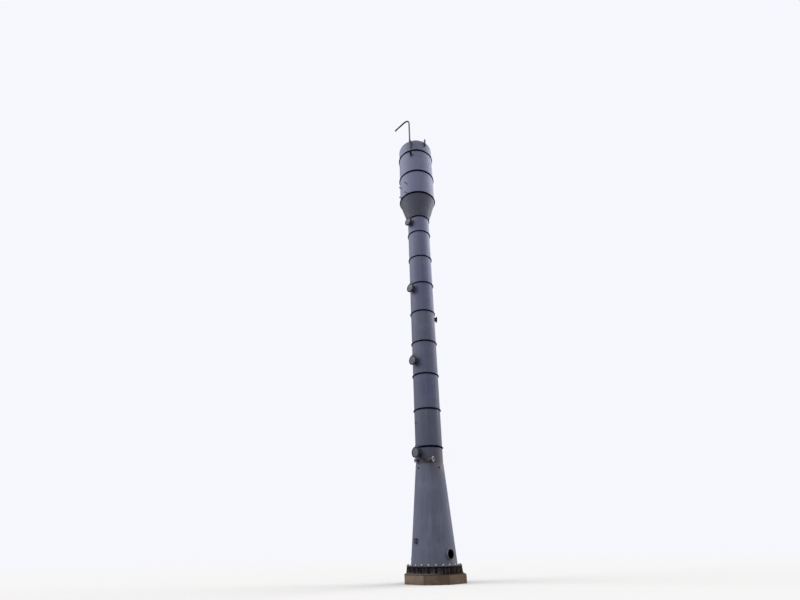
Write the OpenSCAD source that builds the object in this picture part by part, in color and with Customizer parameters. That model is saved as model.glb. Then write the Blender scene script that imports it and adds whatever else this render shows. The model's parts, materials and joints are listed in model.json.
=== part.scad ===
// Distillation column on its skirt and concrete plinth, millimetres, +Z up.
// The origin is on the column's axis at the underside of the plinth. -Y is the front.

/* [Lower section] */
// Outside diameter of the lower shell
low_od = 1800; // [1700:10:1820]
// Wall of the lower shell
low_wall = 18; // [12:1:30]
// Height of the lower shell's bottom edge, where the skirt takes over
low_foot_z = 6550; // [6300:10:6800]
// Length of the lower shell
low_len = 20250; // [19600:50:20800]

/* [Upper section] */
// Outside diameter of the upper shell
top_od = 3040; // [2600:20:3300]
// Wall of the upper shell and of the top head
top_wall = 16; // [12:1:30]
// Height of the cone between the two shells
cone_h = 2150; // [1800:50:2600]
// Wall of the cone
cone_wall = 20; // [14:1:30]
// Outside radius of the knuckle at the cone's wide end
cone_knuckle = 450; // [150:10:500]
// Length of the upper shell
top_len = 6200; // [5800:50:6800]

/* [Insulation rings] */
// How far a ring stands out from the lower shell
ring_w = 65; // [30:1:80]
// How far a ring stands out from the upper shell
top_ring_w = 65; // [30:1:100]
// Thickness of a ring on the lower shell
ring_t = 22; // [8:1:30]
// Thickness of a ring on the upper shell
top_ring_t = 28; // [8:1:34]
// Height of the lowest ring above the lower shell's bottom edge
ring_first = 1100; // [1080:10:1400]
// Spacing of the rings on the lower shell
ring_pitch = 2510; // [2300:10:2600]
// Number of rings on the lower shell
ring_count = 8; // [4:1:8]
// Spacing of the rings on the upper shell
top_ring_pitch = 2540; // [2300:10:2700]
// Number of rings on the upper shell
top_ring_count = 3; // [1:1:3]
// Clear gap that a ring leaves beside a nozzle or pad in its way
ring_gap = 15; // [5:1:40]

/* [Skirt] */
// Outside radius of the skirt where it stands on the base ring
skirt_foot_r = 1430; // [1200:5:1600]
// Wall of the skirt
skirt_wall = 20; // [14:1:28]
// Length over which the skirt's top edge laps the shell
skirt_lap = 50; // [20:1:60]
// Height of the skirt's lower course
skirt_course_h = 2970; // [2400:10:3600]

/* [Base] */
// Distance from the base ring's edge to the plinth's eight flat sides
plinth_edge = 90; // [60:5:400]
// Height of the plinth
plinth_h = 480; // [300:10:700]
// Chamfer along the plinth's upper edge
plinth_chamfer = 30; // [10:1:50]
// How far the base ring stands out from the skirt's foot
base_out = 280; // [240:5:400]
// How far the base ring reaches inside the skirt's foot
base_in = 140; // [60:5:200]
// Thickness of the base ring
base_t = 50; // [30:1:80]
// Height of the anchor chairs between the base ring and the chair ring
chair_h = 315; // [200:5:450]
// Thickness of the chair ring
chair_t = 45; // [25:1:60]
// Distance from the base ring's edge to the chair ring's edge
chair_edge = 45; // [20:1:50]
// Number of anchor bolts
anchor_n = 24; // [12:4:24]
// Distance from the skirt's foot to the anchor bolt circle
anchor_out = 170; // [120:5:180]
// Radius of the anchor bolt holes
anchor_hole_r = 35; // [28:1:40]
// Clear width between the two gussets of a chair
gusset_gap = 110; // [90:1:140]
// Thickness of a gusset
gusset_t = 20; // [12:1:30]
// Distance from a ring's edge to the gusset between the two rings
gusset_edge = 20; // [5:1:30]

/* [Skirt openings] */
// Direction of the access opening, from +X towards +Y
access_az = -48.5; // [-60:0.5:-40]
// Height of the access opening's centre
access_z = 1480; // [1400:10:1700]
// Inside radius of the access opening's sleeve
access_r = 255; // [200:5:280]
// Wall of the access opening's sleeve
access_wall = 16; // [10:1:25]
// How far the access sleeve stands out of the skirt
access_out = 70; // [40:5:120]
// How far the access sleeve stands into the skirt
access_in = 70; // [50:5:120]
// Distance from the lower shell's bottom edge down to the four vents
vent_drop = 210; // [160:5:400]
// Direction of the first vent
vent_az = -53; // [-60:1:-45]
// Inside radius of a vent
vent_r = 45; // [30:1:60]
// Wall of a vent pipe
vent_wall = 8; // [5:1:12]
// How far a vent pipe stands out of the skirt, and into it
vent_out = 30; // [20:1:60]

/* [Skirt brackets] */
// Direction of the first earthing lug, the second mirrors it across the column
earth_az = 20; // [0:1:60]
// Height of the earthing lugs
earth_z = 1250; // [1100:10:2000]
// Height of an earthing lug's plate
earth_w = 80; // [60:1:120]
// Thickness of an earthing lug
earth_t = 12; // [8:1:20]
// How far an earthing lug stands out of the skirt
earth_out = 100; // [80:1:140]
// Radius of the hole in an earthing lug
earth_hole_r = 9; // [6:0.5:12]
// Direction of the tag bracket
bracket_az = -145; // [-155:1:-130]
// Height of the tag bracket's middle
bracket_z = 2200; // [1700:10:2600]
// Height of the tag bracket
bracket_h = 270; // [220:10:420]
// Width of the tag bracket
bracket_w = 190; // [120:5:240]
// How far the tag bracket's face stands out of the skirt
bracket_out = 110; // [80:5:160]
// Thickness of the tag bracket's plates
bracket_t = 10; // [6:1:14]

/* [Manways] */
// Direction in which all four manways face
manway_az = -140; // [-145:0.5:-135]
// Distance from the lower shell's top edge down to the highest manway
manway_1_drop = 500; // [440:10:900]
// Height of the second manway above the lower shell's bottom edge
manway_2_rise = 13180; // [12800:10:13500]
// Height of the third manway above the lower shell's bottom edge
manway_3_rise = 7150; // [6800:10:7600]
// Height of the lowest manway above the lower shell's bottom edge
manway_4_rise = 745; // [735:1:755]
// Outside radius of a manway neck
neck_r = 254; // [230:1:270]
// Wall of a manway neck
neck_wall = 14; // [10:1:20]
// How far a manway's flange face stands out from the shell
manway_out = 285; // [240:5:360]
// Outside radius of the manway flange and cover
manway_flange_r = 350; // [335:1:370]
// Thickness of a manway flange
manway_flange_t = 42; // [30:1:60]
// Thickness of a manway cover
cover_t = 48; // [30:1:60]
// Gasket between a manway flange and its cover
gasket_t = 3; // [2:1:6]
// How far the gasket reaches beyond the manway neck
gasket_w = 30; // [20:1:45]
// Radius of the reinforcing pads of the three upper manways
pad_r = 390; // [300:5:400]
// Radius of the reinforcing pad of the lowest manway
low_pad_r = 305; // [290:5:320]
// Thickness of a reinforcing pad
pad_t = 12; // [8:1:20]
// Width of the pull handle on a manway cover
handle_w = 180; // [120:5:260]
// How far the pull handle stands out from its cover
handle_out = 70; // [50:1:100]
// Distance from the cover's middle down to the pull handle
handle_drop = 60; // [0:5:120]
// Radius of the pull handle's bar
handle_r = 10; // [8:0.5:14]
// Radius of the rods of a cover's swing arm
rod_r = 16; // [12:0.5:22]
// Wall of the socket that the swing arm stands in
rod_socket_wall = 10; // [6:1:16]
// Height of the socket that the swing arm stands in
rod_socket_h = 134; // [100:1:180]
// How far the swing arm rises over the cover's rim
rod_rise = 70; // [50:1:110]

/* [Davit] */
// Direction of the davit's mast
davit_az = -107; // [-115:0.5:-95]
// Distance from the upper shell to the mast's centre line
mast_out = 330; // [280:5:420]
// Outside radius of the mast pipe
mast_r = 70; // [50:1:84]
// Wall of the mast pipe
mast_wall = 9; // [6:1:14]
// Distance from the upper shell's top edge down to the mast's foot
mast_drop = 1530; // [1400:10:1900]
// Height of the arm's centre line above the mast's foot
mast_h = 4380; // [4200:10:4800]
// Radius of the bend between mast and arm, on the centre line
bend_r = 700; // [400:10:900]
// Reach of the arm from the mast's centre line to its tip
arm_reach = 1930; // [1500:10:2300]
// Direction in which the arm points at rest
arm_az = 133; // [90:1:180]
// Radius of the hole in the eye under the arm's tip
eye_hole_r = 24; // [18:1:30]
// Width of the plate round the hole in the eye
eye_rim = 31; // [22:1:40]
// Thickness of the eye plate
eye_t = 20; // [12:1:30]
// Distance from the arm's tip to the eye
eye_back = 60; // [55:1:120]
// Distance from the upper shell's top edge down to the guide
guide_drop = 120; // [60:5:200]
// Height of the guide's collar
guide_h = 120; // [80:5:160]
// Running gap between the mast and the guide's collar
guide_gap = 2; // [1:0.5:5]
// Length of the guide's knee plate down the shell
knee_h = 760; // [500:10:900]
// Wall of the guide's collar and of the socket at the mast's foot
socket_wall = 12; // [8:1:18]
// Height of the socket at the mast's foot
socket_h = 150; // [100:5:220]
// Thickness of the floor under the mast
step_floor_t = 25; // [16:1:40]
// Depth of the step bracket on the shell
step_h = 300; // [240:10:400]
// Thickness of the davit's bracket plates
plate_t = 16; // [10:1:24]

/* [Nozzles] */
// How far a small nozzle's face stands out from the shell
nozzle_out = 190; // [160:5:230]
// How far a nozzle's pipe reaches in from the shell's outside
nozzle_in = 50; // [40:1:80]
// How far a nozzle's pad reaches beyond its pipe
pad_reach = 70; // [50:1:70]
// Direction of the nozzle that returns vapour from the reboiler
return_az = -92; // [-100:1:-88]
// Height of the reboiler return nozzle above the lower shell's bottom edge
return_rise = 240; // [240:1:260]
// Straight stub of the return nozzle between shell and elbow
return_stub = 110; // [90:5:160]
// Centre line radius of the return nozzle's elbow
return_bend = 203; // [180:1:305]
// Angle through which the return nozzle's elbow turns
return_turn = 66; // [45:1:90]
// Straight length between the return nozzle's elbow and its face
return_leg = 110; // [100:5:160]
// Direction of the drain nozzle
drain_az = -152; // [-158:1:-151]
// Height of the drain nozzle above the lower shell's bottom edge
drain_rise = 280; // [240:5:285]
// Direction of the sample nozzle
sample_az = -115; // [-118:1:-113]
// Height of the sample nozzle above the lower shell's bottom edge
sample_rise = 275; // [200:5:350]
// Direction of the feed nozzle
feed_az = 8; // [-10:1:20]
// Height of the feed nozzle above the lower shell's bottom edge
feed_rise = 10800; // [10500:10:10850]
// Direction of the thermowell boss
well_az = -155; // [-160:1:-150]
// Height of the thermowell boss above the lower shell's bottom edge
well_rise = 2730; // [1500:10:3300]
// Outside radius of the thermowell boss
well_r = 30; // [24:1:40]
// Wall of the thermowell boss
well_wall = 14; // [8:1:16]
// How far the thermowell boss stands out from the shell
well_out = 80; // [60:5:120]
// Direction of the first pair of level nozzles
level_az_1 = -130; // [-135:1:-125]
// Direction of the second pair of level nozzles
level_az_2 = -158; // [-165:1:-150]
// Height of the upper level nozzles above the upper shell's bottom edge
level_high_rise = 1340; // [1100:10:1700]
// Height of the lower level nozzles above the upper shell's bottom edge
level_low_rise = 220; // [120:10:400]
// How far the vapour outlet's face stands above the head
vapour_out = 480; // [380:10:560]
// How far the vapour outlet's pipe reaches in from the head's top
vapour_in = 90; // [60:5:120]
// How far the bottom outlet's face hangs below the bottom head
outlet_drop = 330; // [250:10:450]
// How far the bottom outlet's pipe reaches in from the bottom head
outlet_in = 40; // [40:1:80]

/* [Lifting lugs] */
// Direction of the first lifting lug, the second is opposite
lug_az = -57; // [-62:1:-50]
// Distance from the upper shell's top edge down to a lifting lug's foot
lug_drop = 500; // [350:10:600]
// Height of the hole in a lifting lug above the upper shell's top edge
lug_rise = 330; // [300:10:500]
// Radius of the hole in a lifting lug
lug_hole_r = 50; // [35:1:60]
// Width of a lifting lug
lug_w = 190; // [150:5:240]
// Thickness of a lifting lug
lug_t = 60; // [40:2:80]

/* [Hidden] */

$fn = 96;
seat = 0.3;
over = 1;
low_courses = 4;
top_courses = 3;
low_r = low_od / 2;
top_r = top_od / 2;
low_top_z = low_foot_z + low_len;
cone_top_z = low_top_z + cone_h;
top_end_z = cone_top_z + top_len;
ring_first_z = low_foot_z + ring_first;

base_r = skirt_foot_r + base_out;
base_bore_r = skirt_foot_r - base_in;
anchor_circle_r = skirt_foot_r + anchor_out;
chair_r = base_r - chair_edge;
plinth_w = 2 * (base_r + plinth_edge);
chair_z = plinth_h + base_t;
chair_top_z = chair_z + chair_h;
skirt_seam_z = chair_z + skirt_course_h;
skirt_top_z = low_foot_z + skirt_lap;
skirt_top_r = low_r + seat + skirt_wall;
vent_z = low_foot_z - vent_drop;

manway_z = [low_top_z - manway_1_drop, low_foot_z + manway_2_rise, low_foot_z + manway_3_rise,
  low_foot_z + manway_4_rise];
manway_pad = [pad_r, pad_r, pad_r, low_pad_r];
manway_face = low_r + manway_out;
cover_z = manway_face + gasket_t;
return_z = low_foot_z + return_rise;
drain_z = low_foot_z + drain_rise;
sample_z = low_foot_z + sample_rise;
feed_z = low_foot_z + feed_rise;
well_z = low_foot_z + well_rise;
level_low_z = cone_top_z + level_low_rise;
level_high_z = cone_top_z + level_high_rise;

mast_off = top_r + mast_out;
mast_x = mast_off * cos(davit_az);
mast_y = mast_off * sin(davit_az);
mast_foot_z = top_end_z - mast_drop;
arm_z = mast_foot_z + mast_h;
guide_z = top_end_z - guide_drop;
socket_gap = 2;
socket_r = mast_r + socket_gap + socket_wall;
collar_r = mast_r + guide_gap + socket_wall;
lug_foot_z = top_end_z - lug_drop;
lug_hole_z = top_end_z + lug_rise;

steel = [0.60, 0.60, 0.64];
pale_steel = [0.66, 0.66, 0.70];
dark_steel = [0.13, 0.13, 0.17];
primer = [0.42, 0.33, 0.33];
concrete = [0.50, 0.46, 0.42];

// Pipe sizes as [pipe radius, wall, flange radius, flange thickness, bolt count,
// bolt circle radius, bolt hole radius]
DN50 = [30.2, 5.5, 76, 19, 4, 60.3, 9.5];
DN150 = [84.1, 7.1, 139.7, 25.4, 8, 120.65, 11.1];
DN200 = [109.5, 8.2, 171.5, 28.6, 8, 149.2, 11.1];
DN300 = [162, 9.5, 241.3, 31.8, 12, 215.9, 12.7];
DN400 = [203.2, 9.5, 298.5, 36.6, 16, 269.9, 14.3];

// Outside radius of the skirt at a height
function skirt_r(z) =
  skirt_foot_r + (skirt_top_r - skirt_foot_r) * (z - chair_z) / (skirt_top_z - chair_z);

// Heights of the courses' edges, each on a whole millimetre
function low_seam_z(i) = low_foot_z + round(i * low_len / low_courses);
function top_seam_z(i) = cone_top_z + round(i * top_len / top_courses);

// Turns local +Z to the outward direction at an azimuth, with local +Y up
module outward(az, z) {
  rotate([0, 0, az]) translate([0, 0, z]) rotate([90, 0, 90]) children();
}

module tube(r, wall, h) {
  difference() {
    cylinder(r = r, h = h);
    translate([0, 0, -over]) cylinder(r = r - wall, h = h + 2 * over);
  }
}

// The skirt's outer cone between two heights, grown by g
module skirt_solid(z0, z1, g = 0) {
  translate([0, 0, z0]) cylinder(r1 = skirt_r(z0) + g, r2 = skirt_r(z1) + g, h = z1 - z0);
}

module skirt_course(z0, z1) {
  difference() {
    skirt_solid(z0, z1);
    skirt_solid(z0 - over, z1 + over, -skirt_wall);
  }
}

// A two-to-one elliptical head as a revolved shell, its open edge at z = 0
module elliptical_head(r, wall) {
  steps = 36;
  outer = [for (i = [0 : steps]) let (a = 90 * i / steps) [r * cos(a), r / 2 * sin(a)]];
  inner = [for (i = [steps : -1 : 0]) let (a = 90 * i / steps)
    [(r - wall) * cos(a), (r / 2 - wall) * sin(a)]];
  rotate_extrude() polygon(concat(outer, inner));
}

// A flat support ring round a shell of radius r, w wide and t thick, its underside at a
// height. It is cut back round each of the shell's openings that lies in its way.
module ring(r, w, t, z, openings) {
  difference() {
    translate([0, 0, z]) cylinder(r = r + w, h = t);
    translate([0, 0, z - over]) cylinder(r = r + seat, h = t + 2 * over);
    for (p = openings) if (p[3] + ring_gap > z - p[2] && p[3] + ring_gap > p[2] - z - t)
      outward(p[1], p[2]) translate([0, 0, r / 2]) cylinder(r = p[3] + ring_gap, h = r);
  }
}

// A pad of radius pad that lies on a shell of radius r
module shell_pad(r, az, z, pad) {
  intersection() {
    translate([0, 0, z - pad - over]) tube(r + seat + pad_t, pad_t, 2 * (pad + over));
    outward(az, z) translate([0, 0, r / 2]) cylinder(r = pad, h = r);
  }
}

// A flanged pipe along local +Z from start to face, its holes straddling the centre line
module flanged_pipe(dn, start, face) {
  hub = dn[0] / 2;
  difference() {
    union() {
      translate([0, 0, start]) cylinder(r = dn[0], h = face - start);
      translate([0, 0, face - dn[3]]) cylinder(r = dn[2], h = dn[3]);
      translate([0, 0, face - dn[3] - hub]) cylinder(r1 = dn[0], r2 = dn[0] * 1.18, h = hub);
    }
    translate([0, 0, start - over]) cylinder(r = dn[0] - dn[1], h = face - start + 2 * over);
    for (i = [0 : dn[4] - 1]) rotate([0, 0, (i + 0.5) * 360 / dn[4]])
      translate([dn[5], 0, face - dn[3] - over])
        cylinder(r = dn[6], h = dn[3] + 2 * over, $fn = 24);
  }
}

// A hole for a pipe through a shell of radius r, with the seat's clearance round the pipe
module pipe_hole(pipe_r, r, az, z) {
  outward(az, z) translate([0, 0, r / 2]) cylinder(r = pipe_r + seat, h = r);
}

module plinth() {
  sides = 8;
  corner = 1 / cos(180 / sides);
  color(concrete) difference() {
    rotate([0, 0, 180 / sides]) cylinder(r = plinth_w / 2 * corner, h = plinth_h, $fn = sides);
    for (i = [0 : sides - 1]) rotate([0, 0, i * 360 / sides])
      translate([plinth_w / 2, 0, plinth_h]) rotate([0, 45, 0])
        cube([plinth_chamfer * sqrt(2), plinth_w, plinth_chamfer * sqrt(2)], center = true);
  }
}

module anchor_holes(z, h) {
  for (i = [0 : anchor_n - 1]) rotate([0, 0, i * 360 / anchor_n])
    translate([anchor_circle_r, 0, z - over]) cylinder(r = anchor_hole_r, h = h + 2 * over);
}

module base_ring() {
  color(pale_steel) difference() {
    translate([0, 0, plinth_h + seat]) tube(base_r, base_r - base_bore_r, base_t - seat);
    anchor_holes(plinth_h, base_t);
  }
}

module chair_ring() {
  color(pale_steel) difference() {
    translate([0, 0, chair_top_z]) cylinder(r = chair_r, h = chair_t);
    skirt_solid(chair_top_z - over, chair_top_z + chair_t + over, seat);
    anchor_holes(chair_top_z, chair_t);
  }
}

module chair_gussets() {
  foot = base_r - gusset_edge;
  head = chair_r - gusset_edge;
  foot_z = chair_z + seat;
  head_z = chair_top_z - seat;
  color(steel) difference() {
    for (i = [0 : anchor_n - 1], side = [-1, 1]) rotate([0, 0, i * 360 / anchor_n])
      translate([0, side * (gusset_gap + gusset_t) / 2, 0]) rotate([90, 0, 0])
        linear_extrude(gusset_t, center = true)
          polygon([[base_bore_r, foot_z], [foot, foot_z], [head, head_z], [base_bore_r, head_z]]);
    skirt_solid(chair_z - over, chair_top_z + over, seat);
  }
}

module skirt_lower() {
  color(steel) difference() {
    skirt_course(chair_z, skirt_seam_z);
    pipe_hole(access_r + access_wall, skirt_r(access_z), access_az, access_z);
  }
}

module skirt_upper() {
  color(steel) difference() {
    skirt_course(skirt_seam_z, skirt_top_z);
    for (i = [0 : 3]) pipe_hole(vent_r + vent_wall, skirt_r(vent_z), vent_az + 90 * i, vent_z);
  }
}

module access_sleeve() {
  length = access_out + skirt_wall + access_in;
  color(pale_steel) outward(access_az, access_z)
    translate([0, 0, skirt_r(access_z) + access_out - length])
      tube(access_r + access_wall, access_wall, length);
}

module skirt_vents() {
  length = skirt_wall + 2 * vent_out;
  color(steel) for (i = [0 : 3]) outward(vent_az + 90 * i, vent_z)
    translate([0, 0, skirt_r(vent_z) + vent_out - length])
      tube(vent_r + vent_wall, vent_wall, length);
}

// Two drilled plates low on the skirt for the earthing straps
module earth_lugs() {
  root = skirt_r(earth_z) - skirt_wall;
  tip = skirt_r(earth_z) + earth_out;
  color(dark_steel) difference() {
    for (az = [earth_az, 180 - earth_az])
      rotate([0, 0, az]) translate([root, -earth_t / 2, earth_z - earth_w / 2]) difference() {
        cube([tip - root, earth_t, earth_w]);
        translate([tip - root - earth_w / 2, -over, earth_w / 2]) rotate([-90, 0, 0])
          cylinder(r = earth_hole_r, h = earth_t + 2 * over, $fn = 24);
      }
    skirt_solid(earth_z - earth_w, earth_z + earth_w, seat);
  }
}

// An upright face plate held off the skirt by an ear at its top and one at its foot
module tag_bracket() {
  face = skirt_r(bracket_z) + bracket_out;
  color(dark_steel) difference() {
    rotate([0, 0, bracket_az]) union() {
      translate([face - bracket_t, -bracket_w / 2, bracket_z - bracket_h / 2])
        cube([bracket_t, bracket_w, bracket_h]);
      for (z = [bracket_z - bracket_h / 2, bracket_z + bracket_h / 2 - bracket_t])
        translate([face - 2 * bracket_out, -bracket_w / 2, z])
          cube([2 * bracket_out - bracket_t / 2, bracket_w, bracket_t]);
    }
    skirt_solid(bracket_z - bracket_h, bracket_z + bracket_h, seat, $fn = 2 * $fn);
  }
}

module bottom_head() {
  color(steel) difference() {
    translate([0, 0, low_foot_z]) mirror([0, 0, 1]) elliptical_head(low_r, low_wall);
    translate([0, 0, low_foot_z - low_r]) cylinder(r = DN200[0] + seat, h = low_r);
  }
}

module bottom_outlet() {
  color(steel) translate([0, 0, low_foot_z]) mirror([0, 0, 1])
    flanged_pipe(DN200, low_r / 2 - outlet_in, low_r / 2 + outlet_drop);
}

// The lower shell's openings as [pipe radius, azimuth, height, radius of what lies round it]
low_openings = concat(
  [for (i = [0 : 3]) [neck_r, manway_az, manway_z[i], manway_pad[i]]],
  [[DN200[0], return_az, return_z, DN200[0] + pad_reach],
   [DN150[0], drain_az, drain_z, DN150[0] + pad_reach],
   [DN300[0], feed_az, feed_z, DN300[0] + pad_reach],
   [DN50[0], sample_az, sample_z, DN50[0]], [well_r, well_az, well_z, well_r]]);

// The upper shell's openings in the same form
top_openings = [for (az = [level_az_1, level_az_2], z = [level_low_z, level_high_z])
  [DN50[0], az, z, DN50[0]]];

// A shell course between two heights, with each opening that reaches into it
module course(r, wall, z0, z1, openings) {
  color(steel) difference() {
    translate([0, 0, z0]) tube(r, wall, z1 - z0);
    for (p = openings) if (p[2] + p[0] + seat > z0 && p[2] - p[0] - seat < z1)
      pipe_hole(p[0], r, p[1], p[2]);
  }
}

module lower_course(i) {
  course(low_r, low_wall, low_seam_z(i), low_seam_z(i + 1), low_openings);
}

module lower_shell_1() { lower_course(0); }
module lower_shell_2() { lower_course(1); }
module lower_shell_3() { lower_course(2); }
module lower_shell_4() { lower_course(3); }

// The cone with a rounded knuckle at its wide end. Half its opening angle follows from
// where the knuckle ends and the straight part starts.
module cone() {
  steps = 8;
  drop = top_r - low_r - cone_knuckle;
  half = atan2(drop, cone_h) + asin(cone_knuckle / norm([drop, cone_h]));
  inside_r = cone_knuckle - cone_wall;
  centre = top_r - cone_knuckle;
  outer = [for (i = [0 : steps]) let (a = half * i / steps)
    [centre + cone_knuckle * cos(a), cone_top_z - cone_knuckle * sin(a)]];
  inner = [for (i = [steps : -1 : 0]) let (a = half * i / steps)
    [centre + inside_r * cos(a), cone_top_z - inside_r * sin(a)]];
  foot = [[low_r, low_top_z], [low_r - cone_wall / cos(half), low_top_z]];
  color(steel) rotate_extrude() polygon(concat(outer, foot, inner));
}

module upper_course(i) {
  course(top_r, top_wall, top_seam_z(i), top_seam_z(i + 1), top_openings);
}

module upper_shell_1() { upper_course(0); }
module upper_shell_2() { upper_course(1); }
module upper_shell_3() { upper_course(2); }

module top_head() {
  color(steel) difference() {
    translate([0, 0, top_end_z]) elliptical_head(top_r, top_wall);
    translate([0, 0, top_end_z]) cylinder(r = DN400[0] + seat, h = top_r);
  }
}

module lower_rings() {
  color(dark_steel) for (i = [0 : ring_count - 1])
    ring(low_r, ring_w, ring_t, ring_first_z + i * ring_pitch, low_openings);
}

// One ring under the cone and the rings of the upper shell
module upper_rings() {
  color(dark_steel) {
    ring(low_r, ring_w, ring_t, low_top_z - ring_t, low_openings);
    for (i = [0 : top_ring_count - 1])
      ring(top_r, top_ring_w, top_ring_t, cone_top_z + i * top_ring_pitch, top_openings);
  }
}

// A manway's neck with its flange, and the pad that lies round it on the shell
module manway_neck(i) {
  start = low_r - low_wall - nozzle_in;
  color(steel) difference() {
    union() {
      outward(manway_az, manway_z[i]) {
        translate([0, 0, start]) cylinder(r = neck_r, h = manway_face - start);
        translate([0, 0, manway_face - manway_flange_t])
          cylinder(r = manway_flange_r, h = manway_flange_t);
      }
      shell_pad(low_r, manway_az, manway_z[i], manway_pad[i]);
    }
    outward(manway_az, manway_z[i]) translate([0, 0, start - over])
      cylinder(r = neck_r - neck_wall, h = manway_face - start + 2 * over);
  }
}

module manway_neck_1() { manway_neck(0); }
module manway_neck_2() { manway_neck(1); }
module manway_neck_3() { manway_neck(2); }
module manway_neck_4() { manway_neck(3); }

// A blind cover with its gasket and a pull handle
module manway_cover(i) {
  color(pale_steel) outward(manway_az, manway_z[i]) {
    translate([0, 0, cover_z]) cylinder(r = manway_flange_r, h = cover_t);
    translate([0, 0, manway_face + seat]) cylinder(r = neck_r + gasket_w, h = gasket_t);
    translate([0, -handle_drop, cover_z + cover_t]) {
      for (x = [-1, 1]) translate([x * handle_w / 2, 0, 0]) cylinder(r = handle_r, h = handle_out);
      translate([-handle_w / 2 - handle_r, 0, handle_out]) rotate([0, 90, 0])
        cylinder(r = handle_r, h = handle_w + 2 * handle_r);
    }
  }
}

module manway_cover_1() { manway_cover(0); }
module manway_cover_2() { manway_cover(1); }
module manway_cover_3() { manway_cover(2); }
module manway_cover_4() { manway_cover(3); }

// The swing arm that carries a cover when it is unbolted: a post in a socket on the
// flange's rim, an arm over the cover and a drop rod down to the cover's rim
module cover_arm() {
  socket = rod_r + rod_socket_wall;
  post_x = manway_flange_r + seat + socket;
  post_z = manway_face - manway_flange_t / 2;
  reach_z = cover_z + cover_t / 2;
  top = manway_flange_r + rod_rise;
  translate([post_x, 0, post_z]) rotate([-90, 0, 0]) {
    translate([0, 0, -rod_socket_h]) cylinder(r = socket, h = rod_socket_h);
    cylinder(r = rod_r, h = top);
  }
  translate([post_x, top, post_z]) sphere(r = rod_r);
  translate([post_x, top, post_z]) rotate([0, atan2(-post_x, reach_z - post_z), 0])
    cylinder(r = rod_r, h = norm([post_x, reach_z - post_z]));
  translate([0, manway_flange_r + seat, reach_z]) rotate([-90, 0, 0])
    cylinder(r = rod_r, h = rod_rise + rod_r);
}

module cover_arms() {
  color(dark_steel) for (z = manway_z) outward(manway_az, z) cover_arm();
}

// The reboiler return comes out of the shell, turns through an elbow and faces sideways.
// A backed weld joins the elbow to the straight length that carries the flange.
module return_nozzle() {
  r = DN200[0];
  bore = r - DN200[1];
  start = low_r - nozzle_in;
  out = low_r + return_stub;
  bead = 4;
  backing = 2;
  weld = 6;
  color(pale_steel) {
    outward(return_az, return_z) {
      translate([0, 0, start]) tube(r, DN200[1], out - start);
      translate([return_bend, 0, out]) {
        rotate([-90, 0, 0]) rotate([0, 0, 180]) rotate_extrude(angle = return_turn)
          translate([return_bend, 0]) difference() {
            circle(r = r);
            circle(r = bore);
          }
        rotate([0, return_turn, 0]) translate([-return_bend, 0, 0]) {
          flanged_pipe(DN200, 1, return_leg);
          translate([0, 0, -weld]) tube(r + bead, DN200[1] + bead + backing, 2 * weld);
        }
      }
    }
    nozzle_pad(DN200, low_r, return_az, return_z);
  }
}

// The pad round a nozzle's pipe on a shell of radius r
module nozzle_pad(dn, r, az, z) {
  difference() {
    shell_pad(r, az, z, dn[0] + pad_reach);
    outward(az, z) translate([0, 0, r - nozzle_in]) cylinder(r = dn[0] - dn[1] / 2, h = r);
  }
}

module radial_nozzle(dn, r, az, z) {
  outward(az, z) flanged_pipe(dn, r - nozzle_in, r + nozzle_out);
}

// A nozzle with a pad round its pipe on the shell
module padded_nozzle(dn, r, az, z) {
  radial_nozzle(dn, r, az, z);
  nozzle_pad(dn, r, az, z);
}

module drain_nozzle() { color(pale_steel) padded_nozzle(DN150, low_r, drain_az, drain_z); }
module sample_nozzle() { color(primer) radial_nozzle(DN50, low_r, sample_az, sample_z); }
module feed_nozzle() { color(dark_steel) padded_nozzle(DN300, low_r, feed_az, feed_z); }

module thermowell_boss() {
  color(dark_steel) outward(well_az, well_z) translate([0, 0, low_r - nozzle_in])
    tube(well_r, well_wall, nozzle_in + well_out);
}

module level_nozzles() {
  color(dark_steel) for (az = [level_az_1, level_az_2], z = [level_low_z, level_high_z])
    radial_nozzle(DN50, top_r, az, z);
}

// Height of the top head's outside above its open edge, at a distance from the axis
function head_rise(x) = top_r / 2 * sqrt(1 - pow(x / top_r, 2));

module vapour_outlet() {
  head_top = top_r / 2;
  steps = 6;
  inside = DN400[0] - DN400[1] / 2;
  edge = DN400[0] + pad_reach;
  across = [for (i = [0 : steps]) inside + (edge - inside) * i / steps];
  under = [for (x = across) [x, head_rise(x) + seat]];
  above = [for (i = [steps : -1 : 0]) under[i] + [0, pad_t]];
  color(steel) translate([0, 0, top_end_z]) {
    flanged_pipe(DN400, head_top - vapour_in, head_top + vapour_out);
    rotate_extrude() polygon(concat(under, above));
  }
}

// Two upright plates on the top course, each drilled for a shackle
module lifting_lugs() {
  round_r = lug_w / 2;
  root = top_r - top_wall;
  reach = lug_w + top_wall;
  slope = 60;
  color(steel) difference() {
    for (side = [0, 180]) rotate([0, 0, lug_az + side]) translate([root, 0, 0])
      rotate([90, 0, 0]) linear_extrude(lug_t, center = true) difference() {
        union() {
          polygon([[0, lug_foot_z], [reach, lug_foot_z + slope], [reach, lug_hole_z],
                   [0, lug_hole_z]]);
          translate([reach - round_r, lug_hole_z]) circle(r = round_r);
        }
        translate([reach - round_r, lug_hole_z]) circle(r = lug_hole_r);
      }
    translate([0, 0, lug_foot_z - over])
      cylinder(r = top_r + seat, h = lug_hole_z - lug_foot_z - round_r);
  }
}

// What the brackets of the davit are cut back to where they meet the shell
module shell_face(z0, z1) {
  translate([0, 0, z0]) cylinder(r = top_r + seat, h = z1 - z0, $fn = 2 * $fn);
}

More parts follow.
